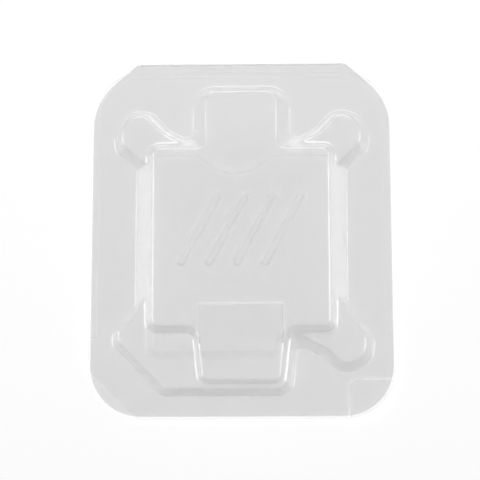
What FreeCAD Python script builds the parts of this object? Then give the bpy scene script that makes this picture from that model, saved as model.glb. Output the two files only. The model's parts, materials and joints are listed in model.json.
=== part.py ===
import FreeCAD, Part
import math
import os
import Sketcher

# Clear thermoformed clamshell for one square chip package, closed and lying on its flanges.
# One sheet of film makes both halves: the tray below, the lid above, joined by a living hinge.
# Millimetres, +Z up, hinge towards +Y, origin under the middle of the footprint.

SIZES = {
    # film
    "film": 0.4,
    # flanges, measured from the origin
    "flange_side": 30.0,
    "lid_front": 36.1,
    "tray_front": 35.5,
    "tray_side": 29.6,
    "fold_line": 36.1,
    "fold_half": 20.3,
    "leaf_root": 28.1,
    "front_round": 10.0,
    "rear_round": 12.0,
    "clip_side": 26.4,
    "clip_front": 20.2,
    "clip_round": 1.0,
    # lid levels above its flange
    "ear_level": 4.3,
    "core_level": 7.0,
    "ramp_rise": 1.3,
    # drafts from the vertical, in degrees
    "core_draft": 27.0,
    "ear_draft": 20.0,
    "tab_draft": 19.0,
    "box_draft": 13.0,
    "shoulder_draft": 14.0,
    "tray_draft": 28.0,
    "pad_draft": 28.0,
    # edge radii on the outside of the film
    "crest_round": 0.8,
    "foot_round": 0.7,
    "blend_round": 0.8,
    "block_round": 1.8,
    # lid core
    "core_side": 21.0,
    "core_rear": 20.3,
    "core_front": 22.6,
    "core_corner": 5.0,
    # rear tab
    "tab_side": 9.7,
    "tab_rear": 30.8,
    "tab_corner": 4.4,
    # front box and its ramp
    "box_side": 9.1,
    "box_root_side": 11.1,
    "box_front": 31.2,
    "box_corner": 3.2,
    "ramp_side": 8.5,
    "ramp_top_side": 8.2,
    "ramp_low": 22.3,
    "ramp_high": 14.8,
    "ramp_foot": 14.3,
    "ramp_flat": 0.3,
    # rear ears
    "ear_side": 25.4,
    "ear_rear": 25.7,
    "ear_corner": 5.5,
    "ear_flank": 17.5,
    "ear_flank_round": 4.0,
    "ear_slant": 18.0,
    "ear_slant_round": 4.0,
    "ear_root_side": 14.6,
    "ear_root_rise": 1.5,
    "ear_root_round": 6.0,
    # front right ear
    "front_ear_side": 25.9,
    "front_ear_front": 27.4,
    "front_ear_flank": 19.6,
    "front_ear_flank_round": 4.8,
    "front_ear_slant": 18.5,
    "front_ear_slant_round": 4.0,
    "front_ear_root_out": 2.0,
    "front_ear_root_flank": 16.4,
    "front_ear_root_side": 16.1,
    "front_ear_root_fall": 2.0,
    "front_ear_root_round": 5.0,
    # front left shoulder
    "shoulder_side": 25.2,
    "shoulder_flank": 18.2,
    "shoulder_clip_side": 21.9,
    "shoulder_clip_front": 15.5,
    "shoulder_front": 31.9,
    "shoulder_right": 9.8,
    "shoulder_right_root": 11.8,
    "shoulder_root_out": 1.1,
    "shoulder_root_flank": 16.3,
    "shoulder_root_round": 3.0,
    "shoulder_round": 2.4,
    "shoulder_flank_round": 3.0,
    "shoulder_corner": 3.2,
    # thumb pad
    "thumb_side": 20.3,
    "thumb_rear": 27.9,
    "thumb_corner": 2.0,
    "thumb_rise": 0.7,
    "thumb_over": 4.0,
    # tray platform
    "platform_level": 2.4,
    "platform_side": 18.9,
    "platform_rear": 17.6,
    "platform_front": 24.6,
    "platform_step": 20.7,
    "platform_step_side": 8.0,
    "platform_corner": 2.5,
    "step_round": 1.2,
    "notch_side": 7.3,
    "notch_centre": 1.2,
    "notch_deep": 5.0,
    "notch_round": 6.0,
    "notch_lip": 2.6,
    # support pads on the platform
    "pad_rise": 0.2,
    "pad_inner": 6.5,
    "pad_outer": 14.3,
    "pad_rear": 11.4,
    "pad_front": 1.8,
    "pad_low_rear": 9.0,
    "pad_low_front": 15.6,
    "pad_corner": 1.0,
    # slanted stiffening ribs in the middle of the lid
    "rib_half_long": 8.5,
    "rib_half_wide": 1.25,
    "rib_corner": 1.0,
    "rib_pitch": 5.4,
    "rib_rise": 0.4,
    "rib_turn": 62.0,
    "rib_count": 4,
    # low bead just inside the lid's edge, round the back and down both sides
    "bead_edge": 0.6,
    "bead_wide": 1.1,
    "bead_rear": 33.7,
    "bead_front": 20.0,
    "bead_corner": 9.0,
    "bead_rise": 0.25,
    # how far the hidden stretches of an outline run inside the core
    "buried": 9.0,
    "ear_buried_side": 5.0,
    "ear_buried_down": 8.5,
    "ear_tip_in": 8.0,
    "ear_tip_down": 2.75,
    "front_ear_buried_up": 10.0,
    "front_ear_buried_in": 4.0,
    "front_ear_tip_in": 7.5,
    "front_ear_tip_up": 2.0,
    "shoulder_buried_side": 4.5,
    "shoulder_buried_up": 10.5,
}

NEAR = 0.01        # two heights closer than this are one height
STEP_INTO = 0.02   # how far a crease is felt into its first face
SHARP = 8.0        # faces that turn by less than this many degrees already run smoothly

doc = FreeCAD.newDocument("clamshell_pack")
sheet = doc.addObject("Spreadsheet::Sheet", "sizes")
for row, (alias, number) in enumerate(SIZES.items(), 1):
    sheet.set("A%d" % row, alias)
    sheet.set("B%d" % row, str(number))
    sheet.setAlias("B%d" % row, alias)
doc.recompute()


def value(words):
    """The number that a sum of sheet names stands for, such as "film + ear_level"."""
    total, sign = 0.0, 1.0
    for word in words.split():
        if word in "+-":
            sign = 1.0 if word == "+" else -1.0
        elif word in SIZES:
            total += sign * float(sheet.get(word))
        else:
            total += sign * float(word)
    return total


def formula(words):
    """The same sum as an expression on the sheet."""
    return " ".join("sizes." + word if word in SIZES else word for word in words.split())


def bind(thing, where, words):
    thing.setExpression(where, formula(words))


def outline(name, corners, height):
    """A closed sketch of straight runs and tangent arcs, listed anticlockwise as (x, y, radius)."""
    sketch = doc.addObject("Sketcher::SketchObject", name)
    bind(sketch, "Placement.Base.z", height)
    spots = [FreeCAD.Vector(value(x), value(y), 0) for x, y, r in corners]
    up = FreeCAD.Vector(0, 0, 1)
    rounds = []
    for i, spot in enumerate(spots):
        radius = value(corners[i][2])
        back = (spots[i - 1] - spot).normalize()
        ahead = (spots[(i + 1) % len(spots)] - spot).normalize()
        half = back.getAngle(ahead) / 2
        reach = radius / math.tan(half)
        centre = spot + (back + ahead).normalize() * (radius / math.sin(half))
        left_turn = back.cross(ahead).z < 0
        rounds.append((spot + back * reach, spot + ahead * reach, centre, radius, left_turn))
    lines, arcs, marks = [], [], []
    for i, spot in enumerate(spots):
        ahead = (i + 1) % len(spots)
        lines.append(sketch.addGeometry(Part.LineSegment(rounds[i][1], rounds[ahead][0])))
    for start, end, centre, radius, left_turn in rounds:
        if radius == 0:
            arcs.append(None)
            continue
        first, last = (start, end) if left_turn else (end, start)
        angles = [math.atan2(p.y - centre.y, p.x - centre.x) for p in (first, last)]
        circle = Part.Circle(centre, up, radius)
        arcs.append(sketch.addGeometry(Part.ArcOfCircle(circle, angles[0], angles[1])))
    for i, spot in enumerate(spots):
        into, out = lines[i - 1], lines[i]
        if arcs[i] is None:
            sketch.addConstraint(Sketcher.Constraint("Coincident", into, 2, out, 1))
            mark, at = out, 1
        else:
            mark, at = sketch.addGeometry(Part.Point(spot), True), 1
            near, far = (1, 2) if rounds[i][4] else (2, 1)
            sketch.addConstraint(Sketcher.Constraint("Tangent", into, 2, arcs[i], near))
            sketch.addConstraint(Sketcher.Constraint("Tangent", arcs[i], far, out, 1))
            sketch.addConstraint(Sketcher.Constraint("PointOnObject", mark, 1, into))
            sketch.addConstraint(Sketcher.Constraint("PointOnObject", mark, 1, out))
            held = sketch.addConstraint(Sketcher.Constraint("Radius", arcs[i], rounds[i][3]))
            bind(sketch, "Constraints[%d]" % held, corners[i][2])
        for kind, words, number in (("DistanceX", corners[i][0], spot.x),
                                    ("DistanceY", corners[i][1], spot.y)):
            held = sketch.addConstraint(Sketcher.Constraint(kind, -1, 1, mark, at, number))
            bind(sketch, "Constraints[%d]" % held, words)
    return sketch


def raised(name, profile, height, draft):
    """The profile drawn up to a height, its walls leaning in by the draft."""
    form = doc.addObject("Part::Extrusion", name)
    form.Base = profile
    form.DirMode = "Custom"
    form.Dir = FreeCAD.Vector(0, 0, 1)
    form.Solid = True
    form.FaceMakerClass = "Part::FaceMakerExtrusion"
    bind(form, "LengthFwd", height)
    bind(form, "TaperAngle", "- " + draft)
    return form


def shrunk(name, profile, gap):
    inner = doc.addObject("Part::Offset2D", name)
    inner.Source = profile
    inner.Mode = "Pipe"
    inner.Join = "Arc"
    inner.Fill = False
    bind(inner, "Value", "- " + gap)
    return inner


def joined(name, forms):
    whole = doc.addObject("Part::MultiFuse", name)
    whole.Shapes = forms
    whole.Refine = True
    return whole


def rounded(name, base, radius, wanted):
    """Rounds the edges of a form that the wanted test picks."""
    doc.recompute()
    picked = [i for i, edge in enumerate(base.Shape.Edges, 1) if wanted(edge)]
    if not picked:
        raise ValueError("no edges to round on " + name)
    form = doc.addObject("Part::Fillet", name)
    form.Base = base
    form.Edges = [(i, value(radius), value(radius)) for i in picked]
    doc.recompute()
    return form


def at_height(height):
    """A test for edges that lie flat at a height."""
    level = value(height)
    return lambda edge: max(abs(edge.BoundBox.ZMin - level), abs(edge.BoundBox.ZMax - level)) < NEAR


def walls(name, profile, level, draft):
    """A formed level as the outside of the film and the hollow under it, with sharp crests."""
    return (raised(name + "_outside", profile, level + " + film", draft),
            raised(name + "_hollow", shrunk(name + "_inner_plan", profile, "film"), level, draft))


def crested(name, outside, hollow, top):
    """Both sides of the film with their crests rounded. top is the height of the hollow's ceiling."""
    return (rounded(name + "_outside_crest", outside, "crest_round", at_height(top + " + film")),
            rounded(name + "_hollow_crest", hollow, "crest_round - film", at_height(top)))


def dome(name, profile, foot, level, draft):
    """One formed level with round crests."""
    outside, hollow = walls(name, profile, level, draft)
    return crested(name, outside, hollow, foot + " + " + level)


def core_plan():
    return outline("core_plan", [
        ("core_side", "- core_front", "core_corner"),
        ("core_side", "core_rear", "core_corner"),
        ("- core_side", "core_rear", "core_corner"),
        ("- core_side", "- core_front", "core_corner"),
    ], "film")


def tab_plan():
    return outline("tab_plan", [
        ("tab_side", "core_rear - buried", "0"),
        ("tab_side", "tab_rear", "tab_corner"),
        ("- tab_side", "tab_rear", "tab_corner"),
        ("- tab_side", "core_rear - buried", "0"),
    ], "film")


def box_plan():
    return outline("box_plan", [
        ("box_side", "- box_front", "box_corner"),
        ("box_root_side", "buried - core_front", "0"),
        ("- box_root_side", "buried - core_front", "0"),
        ("- box_side", "- box_front", "box_corner"),
    ], "film")


def rear_ear_plan(name, side, other):
    """side is the sign of the ear's own side of the pack, other is the opposite sign."""
    corners = [
        (side + " ear_side", "ear_flank", "ear_flank_round"),
        (side + " ear_side", "ear_rear", "ear_corner"),
        (side + " ear_slant", "ear_rear", "ear_slant_round"),
        (side + " ear_root_side", "core_rear + ear_root_rise", "ear_root_round"),
        (side + " ear_root_side " + other + " ear_tip_in", "core_rear - ear_tip_down", "0"),
        (side + " core_side " + other + " ear_buried_side", "ear_flank - ear_buried_down", "0"),
    ]
    if side == "-":
        corners.reverse()
    return outline(name, corners, "film")


def front_ear_plan():
    return outline("front_ear_plan", [
        ("front_ear_side", "- front_ear_front", "ear_corner"),
        ("front_ear_side", "- front_ear_flank", "front_ear_flank_round"),
        ("core_side + front_ear_root_out", "- front_ear_root_flank", "front_ear_root_round"),
        ("core_side - front_ear_buried_in", "front_ear_buried_up - front_ear_root_flank", "0"),
        ("front_ear_root_side - front_ear_tip_in", "front_ear_tip_up - core_front", "0"),
        ("front_ear_root_side", "- core_front - front_ear_root_fall", "front_ear_root_round"),
        ("front_ear_slant", "- front_ear_front", "front_ear_slant_round"),
    ], "film")


def shoulder_plan():
    return outline("shoulder_plan", [
        ("- shoulder_clip_front", "- shoulder_front", "shoulder_round"),
        ("shoulder_right", "- shoulder_front", "shoulder_corner"),
        ("shoulder_right_root", "buried - core_front", "0"),
        ("shoulder_buried_side - core_side", "shoulder_buried_up - shoulder_root_flank", "0"),
        ("- core_side - shoulder_root_out", "- shoulder_root_flank", "shoulder_root_round"),
        ("- shoulder_side", "- shoulder_flank", "shoulder_flank_round"),
        ("- shoulder_side", "- shoulder_clip_side", "shoulder_round"),
    ], "film")


def creases(shape, floor_level):
    """The numbers of the edges where two walls or levels meet in a hollow corner."""
    found = []
    for number, edge in enumerate(shape.Edges, 1):
        faces = shape.ancestorsOfType(edge, Part.Face)
        if len(faces) != 2 or edge.BoundBox.ZMax < value(floor_level) + NEAR:
            continue
        middle = (edge.FirstParameter + edge.LastParameter) / 2
        spot = edge.valueAt(middle)
        normals = [face.normalAt(*face.Surface.parameter(spot)) for face in faces]
        if normals[0].getAngle(normals[1]) < math.radians(SHARP):
            continue
        inward = normals[0].cross(edge.tangentAt(middle))
        if not faces[0].isInside(spot + inward * STEP_INTO, NEAR, True):
            inward = -inward
        if inward.dot(normals[1]) > 0:
            found.append(number)
    return found


def blended(name, base, radius, floor_level):
    """Rounds every hollow corner between the joined levels."""
    doc.recompute()
    form = doc.addObject("Part::Fillet", name)
    form.Base = base
    size = value(radius)
    form.Edges = [(number, size, size) for number in creases(base.Shape, floor_level)]
    doc.recompute()
    return form


def plate(name, profile, thick):
    """A flat slab inside an outline."""
    flat = doc.addObject("Part::Extrusion", name)
    flat.Base = profile
    flat.DirMode = "Custom"
    flat.Dir = FreeCAD.Vector(0, 0, 1)
    flat.Solid = True
    bind(flat, "LengthFwd", thick)
    return flat


def hollowed(label, name, outside, hollow):
    """The film itself: the outside less the hollow under it."""
    film = doc.addObject("Part::Cut", name)
    film.Base = outside
    film.Tool = hollow
    film.Refine = True
    film.Label = label
    return film


def ramp(name, inset, level):
    """A wedge that climbs from the front box towards the middle, with a steep end."""
    form = doc.addObject("Part::Wedge", name)
    form.Placement.Rotation = FreeCAD.Rotation(FreeCAD.Vector(1, 0, 0), 90)
    bind(form, "Placement.Base.z", level)
    bind(form, "Xmin", inset + " - ramp_side")
    bind(form, "Xmax", "ramp_side - " + inset)
    bind(form, "X2min", inset + " - ramp_top_side")
    bind(form, "X2max", "ramp_top_side - " + inset)
    bind(form, "Ymin", "0")
    bind(form, "Ymax", "ramp_rise")
    bind(form, "Zmin", "ramp_foot + " + inset)
    bind(form, "Zmax", "ramp_low")
    bind(form, "Z2min", "ramp_high + " + inset)
    bind(form, "Z2max", "ramp_high + " + inset + " + ramp_flat")
    return form


def panel(name, corners, start, rise, draft):
    """A shallow raised panel as outside and hollow. corners(edge) gives its plan, shrunk by edge."""
    outer_plan = outline(name + "_plan", corners("0"), start)
    inner_plan = outline(name + "_inner_plan", corners("film"), start + " - film")
    return (raised(name + "_outside", outer_plan, rise + " + film", draft),
            raised(name + "_hollow", inner_plan, rise + " + film", draft))


def box_corners(left, right, front, rear, corner):
    """The plan of a rectangle with round corners, each side moved in by the edge."""
    def corners(edge):
        return [
            (right + " - " + edge, front + " + " + edge, corner + " - " + edge),
            (right + " - " + edge, rear + " - " + edge, corner + " - " + edge),
            (left + " + " + edge, rear + " - " + edge, corner + " - " + edge),
            (left + " + " + edge, front + " + " + edge, corner + " - " + edge),
        ]
    return corners


def ribs():
    """Slanted ribs side by side across the middle of the lid."""
    outsides, hollows = [], []
    count = int(value("rib_count"))
    corners = box_corners("- rib_half_long", "rib_half_long", "- rib_half_wide", "rib_half_wide",
                          "rib_corner")
    turn = FreeCAD.Rotation(FreeCAD.Vector(0, 0, 1), value("rib_turn"))
    for i in range(count):
        outside, hollow = panel("rib_%d" % (i + 1), corners, "core_level + film", "rib_rise", "pad_draft")
        for form in (outside, hollow):
            form.Placement.Rotation = turn
            form.setExpression("Placement.Base.x", "%s * sizes.rib_pitch" % (i - (count - 1) / 2))
        outsides.append(outside)
        hollows.append(hollow)
    return outsides, hollows


def flange_plan(name, height, side, front, clipped):
    """A flange with its hinge leaf. The lid's front left corner is cut off at a slant."""
    corners = [
        (side, "- " + front, "front_round"),
        (side, "leaf_root", "rear_round"),
        ("fold_half", "fold_line", "0"),
        ("- fold_half", "fold_line", "0"),
        ("- " + side, "leaf_root", "rear_round"),
    ]
    if clipped:
        corners.append(("- " + side, "- clip_side", "clip_round"))
        corners.append(("- clip_front", "- " + front, "clip_round"))
    else:
        corners.append(("- " + side, "- " + front, "front_round"))
    return outline(name, corners, height)


def thumb_pad(plan):
    """A raised corner of the lid's flange that leaves room for a thumb under it."""
    corners = box_corners("thumb_side", "flange_side + thumb_over", "- lid_front - thumb_over",
                          "- thumb_rear", "thumb_corner")
    outside, hollow = panel("thumb_pad", corners, "film", "thumb_rise", "pad_draft")
    trimmed = doc.addObject("Part::MultiCommon", "thumb_pad_inside_flange")
    trimmed.Shapes = [outside, plate("thumb_pad_trim", plan, "thumb_over")]
    return trimmed, hollow


def block():
    """The lid's high level in one piece: core, tab and box, with the corners between them rounded."""
    parts = [
        walls("core", core_plan(), "core_level", "core_draft"),
        walls("tab", tab_plan(), "core_level", "tab_draft"),
        walls("box", box_plan(), "core_level", "box_draft"),
    ]
    outside = blended("block_outside", joined("block_walls_outside", [pair[0] for pair in parts]),
                      "block_round", "film")
    hollow = blended("block_hollow", joined("block_walls_hollow", [pair[1] for pair in parts]),
                     "block_round + film", "film")
    return crested("block", outside, hollow, "film + core_level")


def edge_bead():
    """A low solid bead just inside the lid's edge, open at the front."""
    plans = []
    for name, edge in (("outer", "0"), ("inner", "bead_wide")):
        right = "flange_side - bead_edge - " + edge
        left = "bead_edge - flange_side + " + edge
        front = "- bead_front - " + edge
        rear = "bead_rear - " + edge
        corner = "bead_corner - " + edge
        profile = outline("bead_%s_plan" % name, [
            (right, front, "0"), (right, rear, corner), (left, rear, corner), (left, front, "0"),
        ], "film")
        plans.append(plate("bead_" + name, profile, "film + bead_rise"))
    bead = doc.addObject("Part::Cut", "bead")
    bead.Base, bead.Tool = plans
    return bead


def lid_shell():
    """The upper half: ears and shoulder low, core, tab and box high, with a flange and a hinge leaf."""
    pairs = [
        block(),
        dome("left_ear", rear_ear_plan("left_ear_plan", "-", "+"), "film", "ear_level", "ear_draft"),
        dome("right_ear", rear_ear_plan("right_ear_plan", "+", "-"), "film", "ear_level", "ear_draft"),
        dome("front_ear", front_ear_plan(), "film", "ear_level", "ear_draft"),
        dome("shoulder", shoulder_plan(), "film", "ear_level", "shoulder_draft"),
    ]
    outside = blended("lid_outside_blend", joined("lid_levels_outside", [pair[0] for pair in pairs]),
                      "blend_round", "film")
    hollow = blended("lid_hollow_blend", joined("lid_levels_hollow", [pair[1] for pair in pairs]),
                     "blend_round + film", "film")
    plan = flange_plan("lid_flange_plan", "film", "flange_side", "lid_front", True)
    body = joined("lid_flange_and_levels", [plate("lid_flange", plan, "film"), outside])
    foot = blended("lid_foot", body, "foot_round", "film")
    rib_outsides, rib_hollows = ribs()
    thumb = thumb_pad(plan)
    ramps = (ramp("ramp_outside", "0", "core_level + film + film"),
             ramp("ramp_hollow", "film", "core_level + film"))
    full = joined("lid_outside", [foot, ramps[0], edge_bead(), thumb[0]] + rib_outsides)
    empty = joined("lid_hollow", [hollow, ramps[1], thumb[1]] + rib_hollows)
    return hollowed("lid_shell", "lid_film", full, empty)


def platform_plan():
    return outline("platform_plan", [
        ("- platform_side", "- platform_front", "platform_corner"),
        ("platform_step_side", "- platform_front", "platform_corner"),
        ("platform_step_side", "- platform_step", "step_round"),
        ("platform_side", "- platform_step", "platform_corner"),
        ("platform_side", "platform_rear", "platform_corner"),
        ("notch_side - notch_centre", "platform_rear", "notch_lip"),
        ("- notch_centre", "platform_rear - notch_deep", "notch_round"),
        ("- notch_side - notch_centre", "platform_rear", "notch_lip"),
        ("- platform_side", "platform_rear", "platform_corner"),
    ], "0")


def tray_shell():
    """The lower half: a low platform with a finger notch and four support pads, on its flange."""
    outside, hollow = dome("platform", platform_plan(), "0", "platform_level", "tray_draft")
    plan = flange_plan("tray_flange_plan", "0", "tray_side", "tray_front", False)
    body = joined("tray_flange_and_platform", [plate("tray_flange", plan, "film"), outside])
    foot = blended("tray_foot", body, "foot_round", "0")
    sides = {"left": ("- pad_outer", "- pad_inner"), "right": ("pad_inner", "pad_outer")}
    places = {"rear": ("pad_front", "pad_rear"), "front": ("- pad_low_front", "- pad_low_rear")}
    pads = []
    for side, (left, right) in sides.items():
        for place, (front, rear) in places.items():
            corners = box_corners(left, right, front, rear, "pad_corner")
            name = "%s_%s_pad" % (place, side)
            pads.append(panel(name, corners, "platform_level", "pad_rise", "pad_draft"))
    full = joined("tray_outside", [foot] + [pad[0] for pad in pads])
    empty = joined("tray_hollow", [hollow] + [pad[1] for pad in pads])
    return hollowed("tray_shell", "tray_film", full, empty)


shells = [tray_shell(), lid_shell()]
doc.recompute()
for thing in doc.Objects:
    if "Invalid" in thing.State or "Error" in thing.State:
        raise ValueError("%s did not build: %s" % (thing.Name, thing.getStatusString()))
os.makedirs("parts", exist_ok=True)
for shell in shells:
    if shell.Shape.isNull() or not shell.Shape.isValid() or len(shell.Shape.Solids) != 1:
        raise ValueError(shell.Label + " is not one sound solid")
for shell in shells:
    shell.Shape.exportStep("parts/%s.step" % shell.Label)
    box = shell.Shape.BoundBox
    print("%s: %.0f cubic mm, z %.2f to %.2f" % (shell.Label, shell.Shape.Volume, box.ZMin, box.ZMax))
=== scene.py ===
# Clear thermoformed clamshell for one square chip package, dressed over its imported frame.
import json
import math

import bpy
from mathutils import Matrix, Vector

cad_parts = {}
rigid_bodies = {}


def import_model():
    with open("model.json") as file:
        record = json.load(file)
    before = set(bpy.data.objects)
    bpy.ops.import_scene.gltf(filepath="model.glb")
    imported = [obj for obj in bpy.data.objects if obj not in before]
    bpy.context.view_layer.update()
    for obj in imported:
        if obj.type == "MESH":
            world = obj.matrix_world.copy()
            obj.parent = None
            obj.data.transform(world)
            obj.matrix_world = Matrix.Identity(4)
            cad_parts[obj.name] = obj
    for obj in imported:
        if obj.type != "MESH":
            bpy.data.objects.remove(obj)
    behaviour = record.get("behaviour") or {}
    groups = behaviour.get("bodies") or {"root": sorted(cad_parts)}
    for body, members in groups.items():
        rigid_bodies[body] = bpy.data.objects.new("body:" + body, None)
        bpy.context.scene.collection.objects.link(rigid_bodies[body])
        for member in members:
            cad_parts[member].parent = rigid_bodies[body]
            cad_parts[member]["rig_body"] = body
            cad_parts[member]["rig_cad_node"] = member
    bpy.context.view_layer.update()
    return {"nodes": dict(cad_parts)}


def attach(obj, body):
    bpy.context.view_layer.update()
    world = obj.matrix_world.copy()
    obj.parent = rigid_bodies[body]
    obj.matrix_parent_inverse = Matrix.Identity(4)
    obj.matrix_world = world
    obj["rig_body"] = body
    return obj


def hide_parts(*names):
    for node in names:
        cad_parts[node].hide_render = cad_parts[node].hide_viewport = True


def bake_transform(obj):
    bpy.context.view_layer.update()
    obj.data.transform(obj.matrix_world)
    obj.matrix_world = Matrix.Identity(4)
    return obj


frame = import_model()

mm = 0.001


def linear(hexColour):  # an sRGB hex value as linear red, green, blue and alpha
    parts = [int(hexColour[i:i + 2], 16) / 255 for i in (1, 3, 5)]
    return tuple(c / 12.92 if c <= 0.04045 else ((c + 0.055) / 1.055) ** 2.4 for c in parts) + (1.0,)


white = linear("#FFFFFF")


def newMaterial(name):
    material = bpy.data.materials.new(name)
    material.use_nodes = True
    material.node_tree.nodes.clear()
    return material


def addNode(material, kind, settings=None, links=None):  # one node with its settings and incoming links
    node = material.node_tree.nodes.new(kind)
    for name, setting in (settings or {}).items():
        if isinstance(name, int) or name in node.inputs:
            node.inputs[name].default_value = setting
        else:
            setattr(node, name, setting)
    for name, source in (links or {}).items():
        material.node_tree.links.new(source, node.inputs[name])
    return node


# What all the film shares. Widths and heights are in millimetres.
film = {
    "mirrored": 0.05,         # share of light that one face of PET throws back head on
    "mirrorPower": 5.0,       # how late that share rises towards a grazing view
    "mirroredAtMost": 0.30,   # the drawn edges are too soft to mirror more
    "indexOfRefraction": 1.575,
    "bentRoughness": 0.03,
    "gloss": 0.11,            # roughness of a clean face
    "scuffed": 0.20,          # roughness of its most rubbed patches
    "scuffWidth": 9.0,
    "scuffDetail": 6.0,
    "scuffBreakUp": 0.7,
    "scuffStart": 0.5,        # the part of the noise over which clean turns to rubbed
    "scuffEnd": 0.8,
    "swellWidth": 7.0,        # between the slow swells of drawn film
    "swellHeight": 0.010,
    "swellDetail": 1.0,
    "grainWidth": 0.5,        # chill marks of the mould's sandblasted face, drawn as coarse as they show
    "grainHeight": 0.0012,
    "grainDetail": 2.0,
    "hazeColour": "#F6F6F6",
}
# What differs. The first number is the share of light that one face lets on and haze the share that it
# scatters, both seen head on. The first number is kept below what clear PET lets on, most of all on the
# tray, as painted shade: it stands in for the shadow that the film, casting none, would lay on the floor.
# bent is the part of the light let on that the drawn film bends, as the rest goes straight on. steepest
# is the cosine of the lean past which the way through gets no longer.
films = {
    "trayPet": {"letOnWithPaintedShade": 0.874, "haze": 0.012, "bent": 0.04, "steepest": 0.88},
    "lidPet": {"letOnWithPaintedShade": 0.986, "haze": 0.086, "bent": 0.09, "steepest": 0.40},
    "cutPet": {"letOnWithPaintedShade": 0.990, "haze": 0.300, "bent": 0.0, "steepest": 0.60},
}


def makeClearFilm(name):
    # Thermoformed PET film: light goes straight through it and is lost on the way, more in the
    # steep walls; beyond what clear PET loses, that loss is painted shade for the shadow the film doesn't
    # cast.
    # Its faces mirror more towards a grazing view, a faint haze takes the lamps' light
    # at walls that face them, and slow swells and chill grain ripple the highlights.
    look = films[name]
    m = newMaterial(name)
    spot = addNode(m, "ShaderNodeTexCoord").outputs["Object"]

    # relief of the faces, and the patches where they are rubbed
    swell = addNode(m, "ShaderNodeTexNoise", {"Scale": 1 / (film["swellWidth"] * mm),
                                              "Detail": film["swellDetail"]}, {"Vector": spot})
    grain = addNode(m, "ShaderNodeTexNoise", {"Scale": 1 / (film["grainWidth"] * mm),
                                              "Detail": film["grainDetail"]}, {"Vector": spot})
    scuff = addNode(m, "ShaderNodeTexNoise", {"Scale": 1 / (film["scuffWidth"] * mm),
                                              "Detail": film["scuffDetail"],
                                              "Roughness": film["scuffBreakUp"]}, {"Vector": spot})
    rough = addNode(m, "ShaderNodeMapRange", {"From Min": film["scuffStart"], "From Max": film["scuffEnd"],
                                              "To Min": film["gloss"], "To Max": film["scuffed"]},
                    {"Value": scuff.outputs["Fac"]})
    slow = addNode(m, "ShaderNodeBump", {"Distance": film["swellHeight"] * mm},
                   {"Height": swell.outputs["Fac"]})
    fine = addNode(m, "ShaderNodeBump", {"Distance": film["grainHeight"] * mm},
                   {"Height": grain.outputs["Fac"], "Normal": slow.outputs["Normal"]}).outputs["Normal"]

    # share mirrored, from how far the view leans off the face
    lean = addNode(m, "ShaderNodeLayerWeight", {"Blend": 0.5}, {"Normal": fine}).outputs["Facing"]
    rise = addNode(m, "ShaderNodeMath", {"operation": "POWER", 1: film["mirrorPower"]}, {0: lean})
    mirror = addNode(m, "ShaderNodeMath", {"operation": "MULTIPLY_ADD", 1: 1 - film["mirrored"],
                                           2: film["mirrored"]}, {0: rise.outputs[0]})
    mirror = addNode(m, "ShaderNodeMath", {"operation": "MINIMUM", 1: film["mirroredAtMost"]},
                     {0: mirror.outputs[0]})

    # way through the film against its thickness, with the light let on (darkened as painted shade for the
    # film's missing floor shadow) and the haze over that way
    level = addNode(m, "ShaderNodeMath", {"operation": "SUBTRACT", 0: 1.0}, {1: lean})
    level = addNode(m, "ShaderNodeMath", {"operation": "MAXIMUM", 1: look["steepest"]},
                    {0: level.outputs[0]})
    way = addNode(m, "ShaderNodeMath", {"operation": "DIVIDE", 0: 1.0}, {1: level.outputs[0]})
    # painted shade: the light let on is darkened to stand in for the shadow the film doesn't cast
    passedWithPaintedShade = addNode(m, "ShaderNodeMath", {"operation": "POWER", 0: look["letOnWithPaintedShade"]}, {1: way.outputs[0]})
    hazeShare = addNode(m, "ShaderNodeMath", {"operation": "MULTIPLY", 1: look["haze"]},
                        {0: way.outputs[0]})

    straight = addNode(m, "ShaderNodeBsdfTransparent", None, {"Color": passedWithPaintedShade.outputs[0]})
    bent = addNode(m, "ShaderNodeBsdfRefraction", {"IOR": film["indexOfRefraction"],
                                                   "Roughness": film["bentRoughness"]},
                   {"Color": passedWithPaintedShade.outputs[0], "Normal": fine})
    through = addNode(m, "ShaderNodeMixShader", {0: look["bent"]},
                      {1: straight.outputs["BSDF"], 2: bent.outputs["BSDF"]})
    haze = addNode(m, "ShaderNodeBsdfDiffuse", {"Color": linear(film["hazeColour"])}, {"Normal": fine})
    gloss = addNode(m, "ShaderNodeBsdfGlossy", {"Color": white},
                    {"Roughness": rough.outputs["Result"], "Normal": fine})
    inside = addNode(m, "ShaderNodeMixShader", None, {0: hazeShare.outputs[0], 1: through.outputs["Shader"],
                                                      2: haze.outputs["BSDF"]})
    faced = addNode(m, "ShaderNodeMixShader", None, {0: mirror.outputs[0], 1: inside.outputs["Shader"],
                                                     2: gloss.outputs["BSDF"]})
    addNode(m, "ShaderNodeOutputMaterial", None, {"Surface": faced.outputs["Shader"]})
    print(name, "mixed")
    return m


shells = {
    # piece: CAD node, body, finish
    "trayFilm": ("tray_shell", "tray", "trayPet"),
    "lidFilm": ("lid_shell", "lid", "lidPet"),
}
sheet = {
    "weld": 1e-6,
    "smoothBelow": 32.0,      # degrees
    "airGap": 0.00007,        # each face steps back by this, so that the nested leaves never quite touch
    "foldStart": 0.0357,      # the leaves end here, and the folded strip takes over
    "flatLead": 100,          # how strongly the large flats lead the shading of the rounds beside them
    "cutBelow": 0.1,          # a face that rises or falls less than this is left by the cutting die
}


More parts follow.
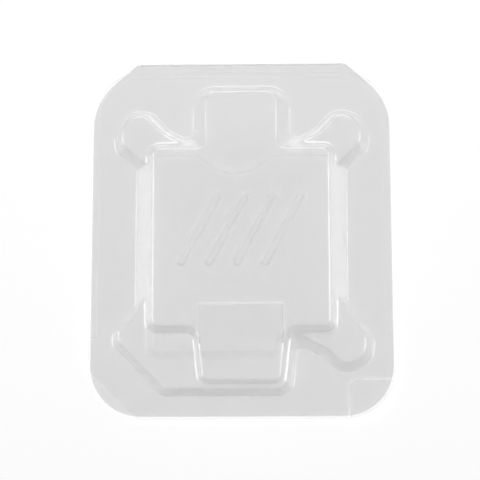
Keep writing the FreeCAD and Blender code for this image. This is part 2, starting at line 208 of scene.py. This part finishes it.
def makeShell(name, node, body, material, cut):
    bpy.ops.object.select_all(action="DESELECT")
    source = frame["nodes"][node]
    source.select_set(True)
    bpy.context.view_layer.objects.active = source
    bpy.ops.object.duplicate()
    shell = bpy.context.object
    shell.name = name
    shell.data.name = name
    for key in ("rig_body", "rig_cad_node"):  # the copy is a piece of its own, not the CAD's
        if key in shell:
            del shell[key]
    shell.parent = None
    bpy.ops.mesh.customdata_custom_splitnormals_clear()
    bpy.ops.object.mode_set(mode="EDIT")
    bpy.ops.mesh.select_all(action="SELECT")
    bpy.ops.mesh.remove_doubles(threshold=sheet["weld"])
    bpy.ops.mesh.bisect(plane_co=(0, sheet["foldStart"], 0), plane_no=(0, 1, 0), clear_outer=True)
    bpy.ops.object.mode_set(mode="OBJECT")
    thin = shell.modifiers.new("airGap", "DISPLACE")
    thin.strength = -sheet["airGap"]
    thin.mid_level = 0
    bpy.ops.object.modifier_apply(modifier=thin.name)
    bpy.ops.object.shade_smooth_by_angle(angle=math.radians(sheet["smoothBelow"]))
    even = shell.modifiers.new("evenNormals", "WEIGHTED_NORMAL")
    even.keep_sharp = True
    even.weight = sheet["flatLead"]
    bpy.ops.object.modifier_apply(modifier=even.name)
    shell.data.materials.clear()
    shell.data.materials.append(material)
    shell.data.materials.append(cut)
    for face in shell.data.polygons:
        face.material_index = int(abs(face.normal.z) < sheet["cutBelow"])
    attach(shell, body)
    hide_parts(node)
    shell.visible_shadow = False  # the film casts no shadow; the shade it would lay on the floor is painted into its darker let-on share instead
    print(name, "made,", len(shell.data.polygons), "faces")


# The living hinge: a strip bent half round, from the tray's leaf up to the lid's.
fold = {
    "halfLength": 0.0203,
    "centre": (0.0, 0.0357, 0.0004),
    "radius": 0.0002,         # to the middle of the film
    "thickness": 0.00026,
    "lead": 0.00004,          # flat width before the bend
    "steps": 10,
}


def makeFold(material):
    bpy.ops.object.select_all(action="DESELECT")
    x, y, z = fold["centre"]
    bpy.ops.mesh.primitive_plane_add(size=1, location=(x, y, z - fold["radius"]))
    strip = bpy.context.object
    strip.name = "foldedHinge"
    strip.scale = (2 * fold["halfLength"], fold["lead"], 1)
    bpy.ops.object.transform_apply(location=True, rotation=True, scale=True)
    bpy.ops.object.mode_set(mode="EDIT")
    bpy.ops.mesh.select_mode(type="EDGE")
    bpy.ops.mesh.select_all(action="DESELECT")
    bpy.ops.object.mode_set(mode="OBJECT")
    for edge in strip.data.edges:
        edge.select = all(strip.data.vertices[v].co.y > y for v in edge.vertices)
    bpy.ops.object.mode_set(mode="EDIT")
    bpy.ops.mesh.spin(steps=fold["steps"], angle=math.pi, center=(x, y, z), axis=(1, 0, 0))
    bpy.ops.mesh.select_all(action="SELECT")
    bpy.ops.mesh.remove_doubles(threshold=sheet["weld"])
    bpy.ops.mesh.normals_make_consistent(inside=False)
    bpy.ops.object.mode_set(mode="OBJECT")
    wall = strip.modifiers.new("film", "SOLIDIFY")
    wall.thickness = fold["thickness"]
    wall.offset = 0
    wall.use_rim = False
    bpy.ops.object.modifier_apply(modifier=wall.name)
    bpy.ops.object.shade_smooth_by_angle(angle=math.radians(sheet["smoothBelow"]))
    strip.data.materials.append(material)
    strip.visible_shadow = False
    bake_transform(strip)
    print("fold made,", len(strip.data.polygons), "faces")


floorLook = {
    "size": 3.0,
    "height": -0.00005,       # just under the tray's flange
    "colour": "#EDEDED",
    "lift": 0.235,            # light added for the eye, so that bare floor shows white
}


def makeFloor():
    # Matt white card: diffuse, so that it keeps the pack's shade, and lifted to white for the eye.
    m = newMaterial("whiteCard")
    matt = addNode(m, "ShaderNodeBsdfDiffuse", {"Color": linear(floorLook["colour"])})
    lift = addNode(m, "ShaderNodeEmission", {"Color": white, "Strength": floorLook["lift"]})
    path = addNode(m, "ShaderNodeLightPath")
    seen = addNode(m, "ShaderNodeMath", {"operation": "MAXIMUM"},
                   {0: path.outputs["Is Camera Ray"], 1: path.outputs["Is Glossy Ray"]})
    seen = addNode(m, "ShaderNodeMath", {"operation": "MAXIMUM"},
                   {0: seen.outputs[0], 1: path.outputs["Is Transmission Ray"]})
    both = addNode(m, "ShaderNodeAddShader", None, {0: matt.outputs["BSDF"], 1: lift.outputs["Emission"]})
    mix = addNode(m, "ShaderNodeMixShader", None, {0: seen.outputs[0], 1: matt.outputs["BSDF"],
                                                   2: both.outputs["Shader"]})
    addNode(m, "ShaderNodeOutputMaterial", None, {"Surface": mix.outputs["Shader"]})
    bpy.ops.mesh.primitive_plane_add(size=floorLook["size"], location=(0, 0, floorLook["height"]))
    floor = bpy.context.object
    floor.name = "floor"
    floor.data.materials.append(m)
    print("floor laid")


lamps = {
    # name: place, size, watts
    "rearLamp": ((0.0, 0.70, 0.70), 0.6, 4.2),
    "leftLamp": ((-0.80, 0.05, 0.45), 0.5, 3.85),
    "rightLamp": ((0.80, 0.05, 0.45), 0.5, 3.85),
}
world = {"colour": "#FFFFFF", "strength": 0.20}


def makeLight():
    for name, (place, size, watts) in lamps.items():
        lamp = bpy.data.lights.new(name, "AREA")
        lamp.energy = watts
        lamp.size = size
        thing = bpy.data.objects.new(name, lamp)
        bpy.context.scene.collection.objects.link(thing)
        thing.location = place
        thing.rotation_euler = (-Vector(place)).to_track_quat("-Z", "Y").to_euler()
    surround = bpy.data.worlds.new("studio")
    bpy.context.scene.world = surround
    surround.use_nodes = True
    sky = surround.node_tree.nodes["Background"]
    sky.inputs["Color"].default_value = linear(world["colour"])
    sky.inputs["Strength"].default_value = world["strength"]
    bpy.context.scene.view_settings.view_transform = "Standard"
    print("lamps set")


# Distance in metres from the origin, turns in degrees from straight above, lens in millimetres.
view = {
    "distance": 0.380,
    "pitch": 12.56,
    "yaw": -1.2,
    "roll": 0.34,
    "lens": 144.2,
    "shiftX": -0.0034,
    "shiftY": -0.0046,
}


def makeCamera():
    camera = bpy.data.objects.new("camera", bpy.data.cameras.new("camera"))
    bpy.context.scene.collection.objects.link(camera)
    turn = (Matrix.Rotation(math.radians(view["pitch"]), 4, "X")
            @ Matrix.Rotation(math.radians(-view["yaw"]), 4, "Y")
            @ Matrix.Rotation(math.radians(-view["roll"]), 4, "Z"))
    camera.matrix_world = turn @ Matrix.Translation((0, 0, view["distance"]))
    camera.data.lens = view["lens"]
    camera.data.shift_x = view["shiftX"]
    camera.data.shift_y = view["shiftY"]
    bpy.context.scene.camera = camera
    print("camera set")


finishes = {name: makeClearFilm(name) for name in films}
for shellName, (node, body, finishName) in shells.items():
    makeShell(shellName, node, body, finishes[finishName], finishes["cutPet"])
makeFold(finishes["cutPet"])
makeFloor()
makeLight()
makeCamera()
